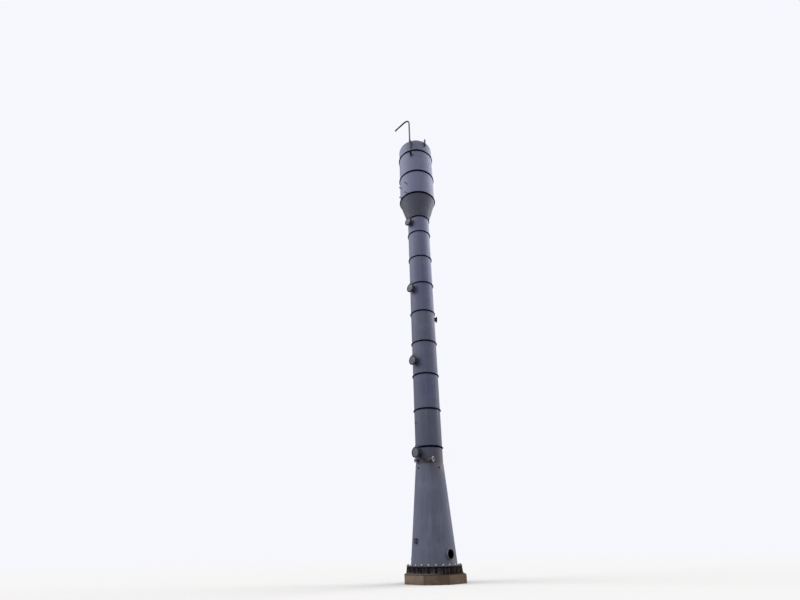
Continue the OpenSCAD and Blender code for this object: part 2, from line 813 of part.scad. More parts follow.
// Two plates from the shell to the mast, with a floor and a socket for the mast's foot
module davit_step() {
  root = top_r - top_wall;
  floor_z = mast_foot_z - step_floor_t;
  web_y = mast_r;
  floor_r = socket_r + plate_t;
  color(dark_steel) difference() {
    union() {
      rotate([0, 0, davit_az]) {
        for (side = [-1, 1]) translate([0, side * web_y, 0]) rotate([90, 0, 0])
          linear_extrude(plate_t, center = true) polygon([
            [root, floor_z - step_h], [top_r + 2 * plate_t, floor_z - step_h],
            [mast_off, floor_z], [mast_off, floor_z + step_floor_t / 2],
            [root, floor_z + step_floor_t / 2]]);
        translate([root, -floor_r, floor_z])
          cube([mast_off - root, 2 * floor_r, step_floor_t - seat]);
      }
      translate([mast_x, mast_y, floor_z]) {
        cylinder(r = floor_r, h = step_floor_t - seat);
        tube(socket_r, socket_wall, step_floor_t + socket_h);
      }
    }
    shell_face(floor_z - step_h - over, mast_foot_z + over);
  }
}

// Two plates from the shell to a collar round the mast, and a knee plate under them
module davit_guide() {
  root = top_r - top_wall;
  spread = guide_h / 2 - plate_t;
  color(dark_steel) difference() {
    rotate([0, 0, davit_az]) union() {
      for (side = [-1, 1]) translate([root, -collar_r, guide_z + side * spread - plate_t / 2])
        cube([mast_off - root, 2 * collar_r, plate_t]);
      translate([mast_off, 0, guide_z - guide_h / 2]) cylinder(r = collar_r, h = guide_h);
      rotate([90, 0, 0]) linear_extrude(plate_t, center = true) polygon([
        [root, guide_z - knee_h], [top_r + 2 * plate_t, guide_z - knee_h],
        [mast_off - collar_r + socket_wall / 2, guide_z - spread],
        [mast_off - collar_r + socket_wall / 2, guide_z], [root, guide_z]]);
    }
    shell_face(guide_z - knee_h - over, top_end_z + over);
    translate([mast_x, mast_y, guide_z - guide_h]) cylinder(r = mast_r + guide_gap, h = 2 * guide_h);
  }
}

// The davit: a pipe mast, a bend, a level arm with a cap and the eye for a hoist under it
module davit() {
  bend_z = arm_z - bend_r;
  eye_r = eye_hole_r + eye_rim;
  eye_z = arm_z - mast_r - eye_r;
  color(dark_steel) translate([mast_x, mast_y, 0]) rotate([0, 0, arm_az]) {
    translate([0, 0, mast_foot_z]) tube(mast_r, mast_wall, bend_z - mast_foot_z);
    translate([bend_r, 0, bend_z]) rotate([90, 0, 0]) rotate([0, 0, 90])
      rotate_extrude(angle = 90) translate([bend_r, 0]) difference() {
        circle(r = mast_r);
        circle(r = mast_r - mast_wall);
      }
    translate([bend_r, 0, arm_z]) rotate([0, 90, 0])
      tube(mast_r, mast_wall, arm_reach - bend_r - mast_wall / 2);
    translate([arm_reach - mast_wall, 0, arm_z]) rotate([0, 90, 0])
      cylinder(r = mast_r, h = mast_wall);
    translate([arm_reach - eye_back, 0, eye_z]) rotate([90, 0, 0])
      linear_extrude(eye_t, center = true) difference() {
        union() {
          circle(r = eye_r);
          translate([-eye_r, 0]) square([2 * eye_r, eye_r + mast_wall / 2]);
        }
        circle(r = eye_hole_r);
      }
  }
}

plinth();
base_ring();
chair_ring();
chair_gussets();
skirt_lower();
skirt_upper();
access_sleeve();
skirt_vents();
earth_lugs();
tag_bracket();
bottom_head();
bottom_outlet();
lower_shell_1();
lower_shell_2();
lower_shell_3();
lower_shell_4();
cone();
upper_shell_1();
upper_shell_2();
upper_shell_3();
top_head();
lower_rings();
upper_rings();
manway_neck_1();
manway_neck_2();
manway_neck_3();
manway_neck_4();
manway_cover_1();
manway_cover_2();
manway_cover_3();
manway_cover_4();
cover_arms();
return_nozzle();
drain_nozzle();
sample_nozzle();
feed_nozzle();
thermowell_boss();
level_nozzles();
vapour_outlet();
lifting_lugs();
davit_step();
davit_guide();
davit();
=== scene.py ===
"""Looks of the distillation column: paint, rust, concrete, bolts, weld seams and the stage."""
import json
import math
import random

import bmesh
import bpy
from mathutils import Matrix, Vector


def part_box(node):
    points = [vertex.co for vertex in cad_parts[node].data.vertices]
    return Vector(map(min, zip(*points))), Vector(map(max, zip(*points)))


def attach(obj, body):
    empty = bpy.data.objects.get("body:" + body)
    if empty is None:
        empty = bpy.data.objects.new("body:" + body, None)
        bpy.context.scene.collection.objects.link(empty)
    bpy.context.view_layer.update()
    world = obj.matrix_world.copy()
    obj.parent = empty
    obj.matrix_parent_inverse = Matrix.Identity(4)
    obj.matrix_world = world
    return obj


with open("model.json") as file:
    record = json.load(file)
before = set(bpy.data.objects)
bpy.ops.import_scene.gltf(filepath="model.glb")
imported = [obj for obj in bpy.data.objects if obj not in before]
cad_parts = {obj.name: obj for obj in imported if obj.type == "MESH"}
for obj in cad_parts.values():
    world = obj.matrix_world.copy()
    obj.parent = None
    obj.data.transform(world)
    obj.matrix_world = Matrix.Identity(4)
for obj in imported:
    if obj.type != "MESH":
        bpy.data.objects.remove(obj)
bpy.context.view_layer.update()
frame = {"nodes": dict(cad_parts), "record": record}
NODES = frame["nodes"]
MOUNTS = {mount["name"]: mount for mount in frame["record"]["mounts"]}

# The photograph's camera, in metres and degrees in the column's frame
CAMERA_AT = Vector((-1.7765, -31.34, 1.80))
CAMERA_PITCH = 28.88
CAMERA_ROLL = -1.11
FOCAL_PX = 451.0
FRAME_W_PX = 800.0
CENTRE_LEFT_PX = 0.5
SENSOR_MM = 36.0
SKY = (0.925, 0.935, 0.985, 1.0)

MANWAYS = 4
MANWAY_AZ = -140.0
MANWAY_BOLTS = 20
MANWAY_FACE = 1.185
COVER_T = 0.048
FLANGE_T = 0.042
GASKET_T = 0.003
RIM_TO_BOLTS = 0.042
GUSSET_GAP = 0.110
CHAIR_RING_T = 0.045
SKIRT_TOP_OUT = 0.0203
LOWER_COURSES, UPPER_COURSES = 4, 3
LOWER_RINGS, LOWER_RING_T = 8, 0.022
UPPER_RINGS, UPPER_RING_T = 3, 0.028

# Sizes in metres and degrees of what this script adds
ANCHOR_R, ANCHOR_OUT = 0.032, 0.104
ANCHOR_NUT_W, ANCHOR_NUT_T = 0.095, 0.051
ANCHOR_NUT_TURN = 13
WASHER_R, WASHER_T = 0.062, 0.010
STUD_R, STUD_OUT = 0.013, 0.040
STUD_NUT_W, STUD_NUT_T = 0.041, 0.024
SEAM_W, SEAM_H = 0.030, 0.004
FILLET_W, FILLET_H = 0.020, 0.012
GAP = 0.0005
SINK = 0.001

# How finely weld beads are cut: round the column, up a seam, and across the bead's low arch
BEAD_SIDES = 160
BEAD_STEPS = 24
ARCH = [math.pi * k / 5 for k in range(6)]


def polar(az):
    """Unit vector at an azimuth in degrees, from +X towards +Y."""
    return Vector((math.cos(math.radians(az)), math.sin(math.radians(az)), 0.0))


def top_of(node):
    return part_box(node)[1].z


def foot_of(node):
    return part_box(node)[0].z


def radius_of(node):
    low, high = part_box(node)
    return (high.x - low.x) / 2


SHELL_R = radius_of("lower_shell_2")
WIDE_R = radius_of("upper_shell_2")
SKIRT_FOOT_R = radius_of("skirt_lower")
SKIRT_FOOT_Z = foot_of("skirt_lower")
SKIRT_TOP_Z = top_of("skirt_upper")
SKIRT_TOP_R = SHELL_R + SKIRT_TOP_OUT
CHAIR_Z = foot_of("chair_gussets")
CHAIR_TOP_Z = top_of("chair_gussets")


def skirt_r(z):
    """Outside radius of the skirt at a height."""
    share = (z - SKIRT_FOOT_Z) / (SKIRT_TOP_Z - SKIRT_FOOT_Z)
    return SKIRT_FOOT_R + (SKIRT_TOP_R - SKIRT_FOOT_R) * share


# Materials

# Specular level of clean paint, and the vector operations whose result is a number
SHINE = 0.4
MEASURES = ("LENGTH", "DISTANCE", "DOT_PRODUCT")


class Tree:
    """A material's node tree with short calls to add and link nodes."""

    def __init__(self, name):
        self.material = bpy.data.materials.new(name)
        self.material.use_nodes = True
        self.nodes = self.material.node_tree.nodes
        self.links = self.material.node_tree.links
        self.nodes.clear()
        self.out = self.nodes.new("ShaderNodeOutputMaterial")
        self.bsdf = self.nodes.new("ShaderNodeBsdfPrincipled")
        self.links.new(self.bsdf.outputs[0], self.out.inputs["Surface"])
        self.place = self.nodes.new("ShaderNodeTexCoord").outputs["Object"]
        split = self.nodes.new("ShaderNodeSeparateXYZ")
        self.links.new(self.place, split.inputs[0])
        self.x, self.y, self.z = split.outputs
        self.radius = self.vector("LENGTH", self.vector("MULTIPLY", self.place, (1, 1, 0)))

    def put(self, value, socket):
        """Links a socket, or sets a plain value."""
        if isinstance(value, bpy.types.NodeSocket):
            self.links.new(value, socket)
        else:
            socket.default_value = value

    def tint(self, colour, socket):
        """Puts a colour, which is a socket or three numbers."""
        self.put(colour if isinstance(colour, bpy.types.NodeSocket) else (*colour, 1.0), socket)

    def math(self, operation, a, b=0.0, clamp=False):
        """Arithmetic on numbers or sockets."""
        node = self.nodes.new("ShaderNodeMath")
        node.operation = operation
        node.use_clamp = clamp
        self.put(a, node.inputs[0])
        self.put(b, node.inputs[1])
        return node.outputs[0]

    def vector(self, operation, a, b=(0, 0, 0)):
        """A vector, or a number where the operation is one of the measures."""
        node = self.nodes.new("ShaderNodeVectorMath")
        node.operation = operation
        self.put(a, node.inputs[0])
        self.put(b, node.inputs[1])
        return node.outputs["Value" if operation in MEASURES else "Vector"]

    def noise(self, scale, detail=4.0, roughness=0.55, stretch=(1.0, 1.0, 1.0), shift=0.0):
        """Noise in metres of the object, stretched along its axes."""
        mapping = self.nodes.new("ShaderNodeMapping")
        self.links.new(self.place, mapping.inputs["Vector"])
        mapping.inputs["Scale"].default_value = stretch
        mapping.inputs["Location"].default_value = (shift, shift * 0.7, shift * 1.3)
        node = self.nodes.new("ShaderNodeTexNoise")
        self.links.new(mapping.outputs[0], node.inputs["Vector"])
        node.inputs["Scale"].default_value = scale
        node.inputs["Detail"].default_value = detail
        node.inputs["Roughness"].default_value = roughness
        return node.outputs["Fac"]

    def ramp(self, value, low, high, start=0.0, end=1.0):
        """Maps low..high smoothly to start..end."""
        node = self.nodes.new("ShaderNodeMapRange")
        node.interpolation_type = "SMOOTHSTEP"
        self.put(value, node.inputs["Value"])
        node.inputs["From Min"].default_value = low
        node.inputs["From Max"].default_value = high
        node.inputs["To Min"].default_value = start
        node.inputs["To Max"].default_value = end
        return node.outputs[0]

    def mix(self, factor, a, b, blend="MIX"):
        """Mixes two colours, which are sockets 6 and 7 of a colour mix and come out of socket 2."""
        node = self.nodes.new("ShaderNodeMix")
        node.data_type = "RGBA"
        node.blend_type = blend
        self.put(factor, node.inputs["Factor"])
        self.tint(a, node.inputs[6])
        self.tint(b, node.inputs[7])
        return node.outputs[2]

    def spot(self, centre, inner, outer):
        """One inside a ball round a point, none outside it, with a ragged edge."""
        uneven = self.math("MULTIPLY", self.math("SUBTRACT", self.noise(5.0), 0.5), outer * 0.8)
        ragged = self.math("ADD", self.vector("DISTANCE", self.place, centre), uneven)
        return self.ramp(ragged, inner, outer, 1.0, 0.0)

    def inside(self, mount_name):
        """One on the wall of a mount's bore, and how far along its axis from the bore's middle."""
        mount = MOUNTS[mount_name]
        away = self.vector("SUBTRACT", self.place, mount["pos_m"])
        radius = self.vector("LENGTH", self.vector("CROSS_PRODUCT", away, mount["axis"]))
        along = self.vector("DOT_PRODUCT", away, mount["axis"])
        wall = mount["dims"]["r_mm"] / 1000
        half = mount["dims"]["length_mm"] / 2000
        bore = self.ramp(radius, wall + 0.001, wall + 0.004, 1.0, 0.0)
        behind = self.ramp(along, -half - 0.030, -half - 0.025)
        return self.math("MULTIPLY", bore, behind), along, half

    def shaded_bores(self, colour, names):
        """Painted shade: near-black walls inside the bores of the named mounts."""
        for name in names:
            colour = self.mix(self.inside(name)[0], colour, BORE_BLACK)
        return colour

    def bump(self, height, distance, strength):
        """Relief of a depth in metres."""
        node = self.nodes.new("ShaderNodeBump")
        node.inputs["Strength"].default_value = strength
        node.inputs["Distance"].default_value = distance
        self.put(height, node.inputs["Height"])
        self.links.new(node.outputs[0], self.bsdf.inputs["Normal"])

    def finish(self, colour, roughness, metallic=0.0, specular=SHINE):
        """Sets the surface and hands over the material."""
        self.tint(colour, self.bsdf.inputs["Base Color"])
        self.put(roughness, self.bsdf.inputs["Roughness"])
        self.bsdf.inputs["Metallic"].default_value = metallic
        self.put(specular, self.bsdf.inputs["Specular IOR Level"])
        return self.material


BORE_BLACK = (0.004, 0.004, 0.005)
LILAC = (0.097, 0.100, 0.204)
GREEN_GREY = (0.090, 0.101, 0.142)
CHALK = (0.205, 0.215, 0.300)
SOOT = (0.040, 0.040, 0.054)
RED_PRIMER = (0.022, 0.011, 0.016)
RUST = (0.076, 0.034, 0.024)
MUD = (0.125, 0.078, 0.045)


def painted_plate(name, first, second, pitch):
    """Site-stained primer on rolled plate: a tint for each course, run marks, chalk and soot."""
    t = Tree(name)
    course = t.math("FLOOR", t.math("DIVIDE", t.z, pitch))
    pick = t.nodes.new("ShaderNodeTexWhiteNoise")
    pick.noise_dimensions = "1D"
    t.links.new(course, pick.inputs["W"])
    drift = t.noise(0.35, 2.0, stretch=(0.6, 0.6, 1.0))
    share = t.math("ADD", t.math("MULTIPLY", pick.outputs["Value"], 0.6),
                   t.math("MULTIPLY", t.math("SUBTRACT", drift, 0.35), 1.3), clamp=True)
    colour = t.mix(share, first, second)
    runs = t.noise(7.0, 5.0, 0.6, stretch=(1.0, 1.0, 0.05))
    colour = t.mix(t.ramp(runs, 0.48, 0.72, 0.0, 0.24), colour, CHALK)
    colour = t.mix(t.ramp(runs, 0.50, 0.30, 0.0, 0.30), colour, SOOT)
    cloud = t.noise(0.9, 5.0, 0.6, shift=3.1)
    colour = t.mix(t.ramp(cloud, 0.45, 0.80, 0.0, 0.30), colour, CHALK)
    fleck = t.noise(26.0, 3.0, 0.7, shift=8.0)
    colour = t.mix(t.ramp(fleck, 0.66, 0.76, 0.0, 0.5), colour, RUST)
    grain = t.noise(60.0, 4.0, 0.65)
    waves = t.noise(1.4, 1.0, stretch=(1.0, 1.0, 0.6), shift=5.0)
    height = t.math("ADD", t.math("MULTIPLY", grain, 0.12), waves)
    t.bump(height, 0.012, 0.35)
    return t, colour, t.ramp(t.math("ADD", grain, runs), 0.7, 1.3, 0.48, 0.72)


def painted_side_light(t, colour, left, front, right, left_from=0.10):
    """Painted light and shade: the plate's colour times tints for its left, front and back, and
    right.

    The left's tint sets in at left_from of the radius and is full 0.6 of it further out.
    """
    share = t.math("DIVIDE", t.x, t.radius)
    tint = t.mix(t.ramp(share, 0.25, 0.85), front, right)
    tint = t.mix(t.ramp(share, -left_from, -left_from - 0.60), tint, left)
    return t.mix(1.0, colour, tint, "MULTIPLY")


def ring_shade_and_grime(t, colour, shine, lowest, pitch, count, reach):
    """Painted shade and dull grime, dark on the shell under and over the rings, up to reach from a
    ring's middle.
    """
    steps = t.math("DIVIDE", t.math("SUBTRACT", t.z, lowest), pitch)
    nearest = t.math("MAXIMUM", t.math("MINIMUM", t.math("ROUND", steps), count - 1), 0)
    apart = t.math("ABSOLUTE", t.math("MULTIPLY", t.math("SUBTRACT", steps, nearest), pitch))
    ragged = t.math("ADD", apart, t.math("MULTIPLY", t.noise(6.0, 4.0), -0.05))
    shade_and_grime = t.ramp(ragged, reach - 0.039, reach, 0.96, 0.0)
    return (t.mix(shade_and_grime, colour, (0.006, 0.007, 0.027)),
            t.math("MULTIPLY", shine, t.math("SUBTRACT", 1.0, shade_and_grime)))


def shell_paint():
    """The shells' primer, greyer low down and paler towards the top."""
    t, colour, rough = painted_plate("shell_paint", LILAC, GREEN_GREY, 2.51)
    colour = t.mix(1.0, colour, t.mix(t.ramp(t.z, 7.0, 17.0), (0.78, 0.78, 0.80), (1.0, 1.0, 1.0)),
                   "MULTIPLY")
    colour = t.mix(t.ramp(t.z, 18.0, 34.0, 0.0, 0.50), colour, CHALK)
    # Painted light and shade: tints for the front, left and right sides, growing with height
    front = t.mix(t.ramp(t.z, 14.0, 25.0), (1.15, 1.17, 1.14), (1.30, 1.31, 1.40))
    left = t.mix(t.ramp(t.z, 11.0, 28.0), (0.66, 0.67, 0.72), (1.18, 1.17, 1.23))
    right = t.mix(t.ramp(t.z, 10.0, 25.0), (0.42, 0.45, 0.56), (1.60, 1.60, 1.67))
    colour = painted_side_light(t, colour, left, front, right)
    low = t.math("MULTIPLY", t.ramp(t.z, 7.70, 7.10, 0.0, 1.0), t.ramp(t.x, -0.45, 0.70, 0.15, 1.0))
    patchy = t.ramp(t.noise(2.6, 4.0, shift=11.0), 0.40, 0.62, 0.60, 1.0)
    colour = t.mix(t.math("MULTIPLY", low, patchy), colour, (0.078, 0.054, 0.076))
    at = MOUNTS["sample_nozzle_bore"]["pos_m"]
    stain = t.spot((at[0] * 0.86 + 0.10, at[1] * 0.86, at[2] - 0.12), 0.12, 0.42)
    colour = t.mix(t.math("MULTIPLY", stain, 0.90), colour, (0.040, 0.020, 0.030))
    shine = SHINE
    for low, node, count, thick, reach in (
            (foot_of("lower_rings"), "lower_rings", LOWER_RINGS, LOWER_RING_T, 0.058),
            (foot_of("upper_shell_1"), "upper_rings", UPPER_RINGS, UPPER_RING_T, 0.108)):
        pitch = (top_of(node) - thick - low) / (count - 1)
        colour, shine = ring_shade_and_grime(t, colour, shine, low + thick / 2, pitch, count, reach)
    # The lowest ring has a second band of painted shade and grime, on its underside
    colour, shine = ring_shade_and_grime(t, colour, shine, foot_of("lower_rings"), 1.0, 1, 0.056)
    return t.finish(colour, rough, specular=shine)


def cone_shaded_paint():
    """The cone's primer, greyer than the shells', and darker as painted shade under the cone."""
    # The darker tints are painted shade on the cone's underside
    t, colour, rough = painted_plate("cone_shaded_paint", (0.068, 0.071, 0.112),
                                     (0.067, 0.070, 0.094), 2.0)
    # Painted light and shade on the cone's sides
    colour = painted_side_light(t, colour, (0.56, 0.57, 0.60), (1.20, 1.20, 1.23), (0.82, 0.86, 0.96), 0.25)
    rise = top_of("cone") - foot_of("cone")
    # Painted shade and grime at the cone's foot and top
    colour, shine = ring_shade_and_grime(t, colour, SHINE, foot_of("cone"), rise, 2, 0.085)
    return t.finish(colour, rough, specular=shine)


def skirt_paint():
    """The skirt's primer: mauve patches at its top, dust at its foot, painted shade between the
    gussets, painted light and shade on its sides.
    """
    blue_grey = (0.088, 0.104, 0.152)
    t, colour, rough = painted_plate("skirt_paint", blue_grey, GREEN_GREY, 3.02)
    # Painted light and shade on the skirt's sides
    colour = painted_side_light(t, colour, (0.69, 0.70, 0.81), (1.24, 1.23, 1.23), (0.50, 0.51, 0.67))
    high = t.math("MULTIPLY", t.ramp(t.z, 5.75, 6.45), t.ramp(t.x, -0.55, 0.65, 0.1, 1.0))
    patchy = t.ramp(t.noise(2.2, 4.0, shift=17.0), 0.38, 0.66)
    colour = t.mix(t.math("MULTIPLY", high, patchy), colour, (0.132, 0.088, 0.112))
    dust = t.math("MULTIPLY", t.ramp(t.z, 2.0, 0.55), t.ramp(t.noise(3.0, 5.0), 0.35, 0.70))
    colour = t.mix(t.math("MULTIPLY", dust, 0.45), colour, (0.130, 0.105, 0.096))
    # Painted shade: near-black in the gap between each bolt's two gussets, under the chair ring
    under_ring = t.ramp(t.z, CHAIR_TOP_Z + 0.02, CHAIR_TOP_Z - 0.02)
    gap = t.math("MULTIPLY", between_gussets(t), under_ring)
    colour = t.mix(gap, foot_dust(t, colour), (0.008, 0.007, 0.008))
    opening = Vector(MOUNTS["access_opening"]["pos_m"])
    below = t.spot(opening * 1.04 - Vector((0.10, 0.10, 0.32)), 0.10, 0.48)
    colour = t.mix(t.math("MULTIPLY", below, 0.55), colour, (0.050, 0.040, 0.040))
    return t.finish(colour, rough)


def cover_paint():
    """Manway covers: a chalky disc with a near-black rim of painted shade where the bolts stand."""
    t, colour, rough = painted_plate("cover_paint", (0.130, 0.138, 0.186), GREEN_GREY, 5.0)
    rim = None
    for k in range(MANWAYS):
        low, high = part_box(f"manway_cover_{k + 1}")
        middle = polar(MANWAY_AZ) * MANWAY_FACE + Vector((0, 0, (low.z + high.z) / 2))
        away = t.vector("SUBTRACT", t.place, middle)
        apart = t.vector("LENGTH", t.vector("CROSS_PRODUCT", away, polar(MANWAY_AZ)))
        rim = apart if rim is None else t.math("MINIMUM", rim, apart)
    ragged = t.math("ADD", rim, t.math("MULTIPLY", t.noise(9.0, 4.0), 0.03))
    colour = t.mix(1.0, colour, t.mix(t.ramp(t.z, 8.0, 20.0), (0.60, 0.60, 0.62), (1.0, 1.0, 1.06)),
                   "MULTIPLY")
    # Painted shade: the rims round the covers go near-black
    colour = t.mix(t.ramp(ragged, 0.240, 0.285, 0.0, 0.95), colour, (0.009, 0.010, 0.018))
    return t.finish(colour, rough)


def ring_paint():
    """The insulation rings: nearly black, partly painted shade, worn grey in places."""
    t = Tree("ring_paint")
    wear = t.ramp(t.noise(9.0, 5.0), 0.58, 0.75, 0.0, 0.5)
    colour = t.mix(wear, (0.006, 0.006, 0.024), (0.013, 0.013, 0.032))
    t.bump(t.noise(45.0), 0.003, 0.4)
    return t.finish(colour, t.ramp(wear, 0.0, 0.6, 0.65, 0.85), specular=0.02)


def dark_steel():
    """Brackets, arms and small nozzles: dark paint with rust coming through."""
    t = Tree("dark_steel")
    rusty = t.ramp(t.noise(6.0, 6.0, 0.65), 0.52, 0.70, 0.0, 0.5)
    colour = t.mix(rusty, (0.011, 0.011, 0.018), (0.040, 0.018, 0.013))
    t.bump(t.noise(50.0, 5.0), 0.002, 0.5)
    return t.finish(colour, t.ramp(rusty, 0.0, 0.5, 0.50, 0.85), specular=0.3)


def primed(name, light, dark, bores=()):
    """Shop primer with streaks and rust flecks, and painted shade inside the named bores."""
    t = Tree(name)
    streak = t.noise(10.0, 5.0, 0.6, stretch=(1.0, 1.0, 0.2))
    colour = t.mix(t.ramp(streak, 0.42, 0.75), light, dark)
    colour = t.mix(t.ramp(t.noise(22.0, 4.0, shift=4.0), 0.62, 0.74, 0.0, 0.7), colour, RUST)
    t.bump(t.noise(70.0, 4.0), 0.002, 0.4)
    return t, t.shaded_bores(colour, bores), t.ramp(streak, 0.3, 0.7, 0.45, 0.70)


def faced_primer(name, mount, light, dark, face, inside=BORE_BLACK):
    """A nozzle in primer with a bare machined flange face, and another colour inside its bore:
    painted shade when near-black, painted light when pale.
    """
    t, colour, rough = primed(name, light, dark)
    bore, along, half = t.inside(mount)
    colour = t.mix(t.ramp(along, half - 0.020, half - 0.012), colour, face)
    colour = t.mix(bore, colour, inside)
    return t.finish(colour, rough)


def neck_paint():
    """Manway necks and flanges: primer, nearly black as painted shade; the pads wear the shell's
    grey.
    """
    t, colour, rough = primed("neck_paint", (0.030, 0.031, 0.046), (0.015, 0.016, 0.024))
    pad = t.mix(t.ramp(t.noise(4.0, 4.0), 0.4, 0.65), LILAC, GREEN_GREY)
    pad = t.mix(1.0, pad, t.mix(t.ramp(t.z, 7.0, 17.0), (0.70, 0.70, 0.72), (0.92, 0.92, 0.92)),
                "MULTIPLY")
    colour = t.mix(t.ramp(t.radius, SHELL_R + 0.014, SHELL_R + 0.018), pad, colour)
    return t.finish(colour, rough)


def davit_paint():
    """Grey primer on the davit's pipe, with rust where it turns in its brackets; its arm is painted
    shade, nearly black.
    """
    t = Tree("davit_paint")
    streak = t.noise(9.0, 5.0, 0.6, stretch=(1.0, 1.0, 0.3))
    mast = t.mix(t.ramp(streak, 0.40, 0.70), (0.150, 0.155, 0.215), (0.092, 0.095, 0.134))
    arm_z = top_of("davit") - 0.14
    arm = t.ramp(t.z, arm_z - 0.55, arm_z - 0.15)
    # Painted shade: the arm goes nearly black and dull
    colour = t.mix(arm, mast, (0.006, 0.006, 0.012))
    rusty = t.math("MULTIPLY", t.ramp(t.noise(14.0, 5.0, 0.65), 0.45, 0.62),
                   t.ramp(t.z, top_of("davit_guide") + 0.5, top_of("davit_guide") + 0.1, 0.15, 0.8))
    colour = t.mix(rusty, colour, (0.060, 0.028, 0.018))
    t.bump(t.noise(50.0, 5.0), 0.002, 0.4)
    return t.finish(colour, 0.6, specular=t.ramp(arm, 0.0, 1.0, 0.30, 0.04))


def fitting_paint():
    """Lifting lugs and vents: nearly black, far darker than the shell's primer."""
    t, colour, rough = primed("fitting_paint", (0.018, 0.018, 0.028), (0.010, 0.010, 0.016))
    return t.finish(colour, rough)


def sleeve_primer():
    """The access opening's sleeve: pale primer outside, painted shade in its bore."""
    t, colour, rough = primed("sleeve_primer", (0.19, 0.20, 0.23), (0.09, 0.09, 0.11),
                              ["access_opening"])
    return t.finish(colour, rough)


def red_primer():
    """The sample nozzle's red primer, very dark."""
    t = Tree("red_primer")
    patch = t.noise(14.0, 5.0, 0.6)
    colour = t.mix(t.ramp(patch, 0.40, 0.70), RED_PRIMER, (0.012, 0.007, 0.010))
    # Painted shade inside the sample nozzle's bore
    colour = t.shaded_bores(colour, ["sample_nozzle_bore"])
    t.bump(t.noise(60.0, 4.0), 0.002, 0.4)
    return t.finish(colour, 0.75)


def shaded_muddy_steel(name):
    """Steel at the foot of the column, near-black with splashes of mud; the near-black is partly
    painted shade.
    """
    t = Tree(name)
    patch = t.noise(4.0, 6.0, 0.62)
    colour = t.mix(t.ramp(patch, 0.40, 0.66), (0.012, 0.010, 0.010), (0.008, 0.005, 0.004))
    colour = t.mix(t.ramp(t.noise(9.0, 5.0, shift=6.0), 0.55, 0.72, 0.0, 0.7), colour,
                   (0.055, 0.032, 0.020))
    t.bump(t.noise(40.0, 5.0, 0.7), 0.004, 0.6)
    return t, colour, patch


def between_gussets(t):
    """One in the narrow gap between each bolt's two gussets, on their inner faces too."""
    pitch = 2 * math.pi / MOUNTS["anchor_circle"]["dims"]["count"]
    steps = t.math("DIVIDE", t.math("ARCTAN2", t.y, t.x), pitch)
    apart = t.math("ABSOLUTE", t.math("SUBTRACT", steps, t.math("ROUND", steps)))
    metres = t.math("MULTIPLY", apart, t.math("MULTIPLY", t.radius, pitch))
    return t.ramp(metres, GUSSET_GAP / 2 + 0.002, GUSSET_GAP / 2 + 0.005, 1.0, 0.0)


def foot_dust(t, colour):
    """Dried mud that lies in the anchor chairs, with painted light on the left and painted shade on
    the right.
    """
    ragged = t.math("ADD", t.z, t.math("MULTIPLY", t.noise(12.0, 4.0), 0.03))
    # Painted light and shade: the mud is pale on the left, dark on the right
    mud = t.mix(t.ramp(t.x, 0.0, 0.6), (0.290, 0.250, 0.238), (0.070, 0.050, 0.040))
    return t.mix(t.ramp(ragged, CHAIR_Z + 0.085, CHAIR_Z + 0.060), colour, mud)


def base_steel(name, edge_r, slope, foot_z):
    """Gussets of the anchor chairs: painted shade where a pair faces its bolt, rusty on the outer
    edge.

    The outer edge stands at edge_r at foot_z and leans by slope metres a metre upwards.
    """
    t, colour, patch = shaded_muddy_steel(name)
    # Painted shade: dark steel in the gap between a bolt's two gussets, paler faces outside it
    colour = t.mix(between_gussets(t), (0.150, 0.128, 0.124), colour)
    colour = foot_dust(t, colour)
    edge = t.math("ADD", t.math("MULTIPLY", t.math("SUBTRACT", t.z, foot_z), slope), edge_r)
    near = t.ramp(t.math("SUBTRACT", t.radius, edge), -0.016, -0.004)
    scuff = t.mix(t.ramp(t.x, -0.2, 1.1), (0.024, 0.021, 0.022), (0.070, 0.036, 0.024))
    scuff = t.mix(t.ramp(t.noise(16.0, 4.0, shift=2.0), 0.42, 0.68, 0.0, 0.8), scuff,
                  (0.012, 0.009, 0.008))
    return t.finish(t.mix(near, colour, scuff), t.ramp(patch, 0.3, 0.7, 0.6, 0.9), specular=0.10)


def ring_steel(name, top_z, top, pale_z=None):
    """A flat ring of the base with dust on its top; on the left its edge is pale over pale_z, as
    painted light.
    """
    t, colour, patch = shaded_muddy_steel(name)
    if pale_z is not None:
        # Painted light: a pale edge on the left
        upper = t.ramp(t.z, pale_z - 0.003, pale_z + 0.003)
        pale = t.math("MULTIPLY", upper, t.ramp(t.x, 0.50, -0.10))
        colour = t.mix(pale, colour, (0.200, 0.165, 0.155))
    dust = t.mix(t.ramp(t.noise(5.0, 5.0), 0.35, 0.70), top, (0.060, 0.042, 0.032))
    colour = t.mix(t.ramp(t.z, top_z - 0.004, top_z - 0.001), colour, dust)
    return t.finish(colour, t.ramp(patch, 0.3, 0.7, 0.6, 0.9), specular=0.08)


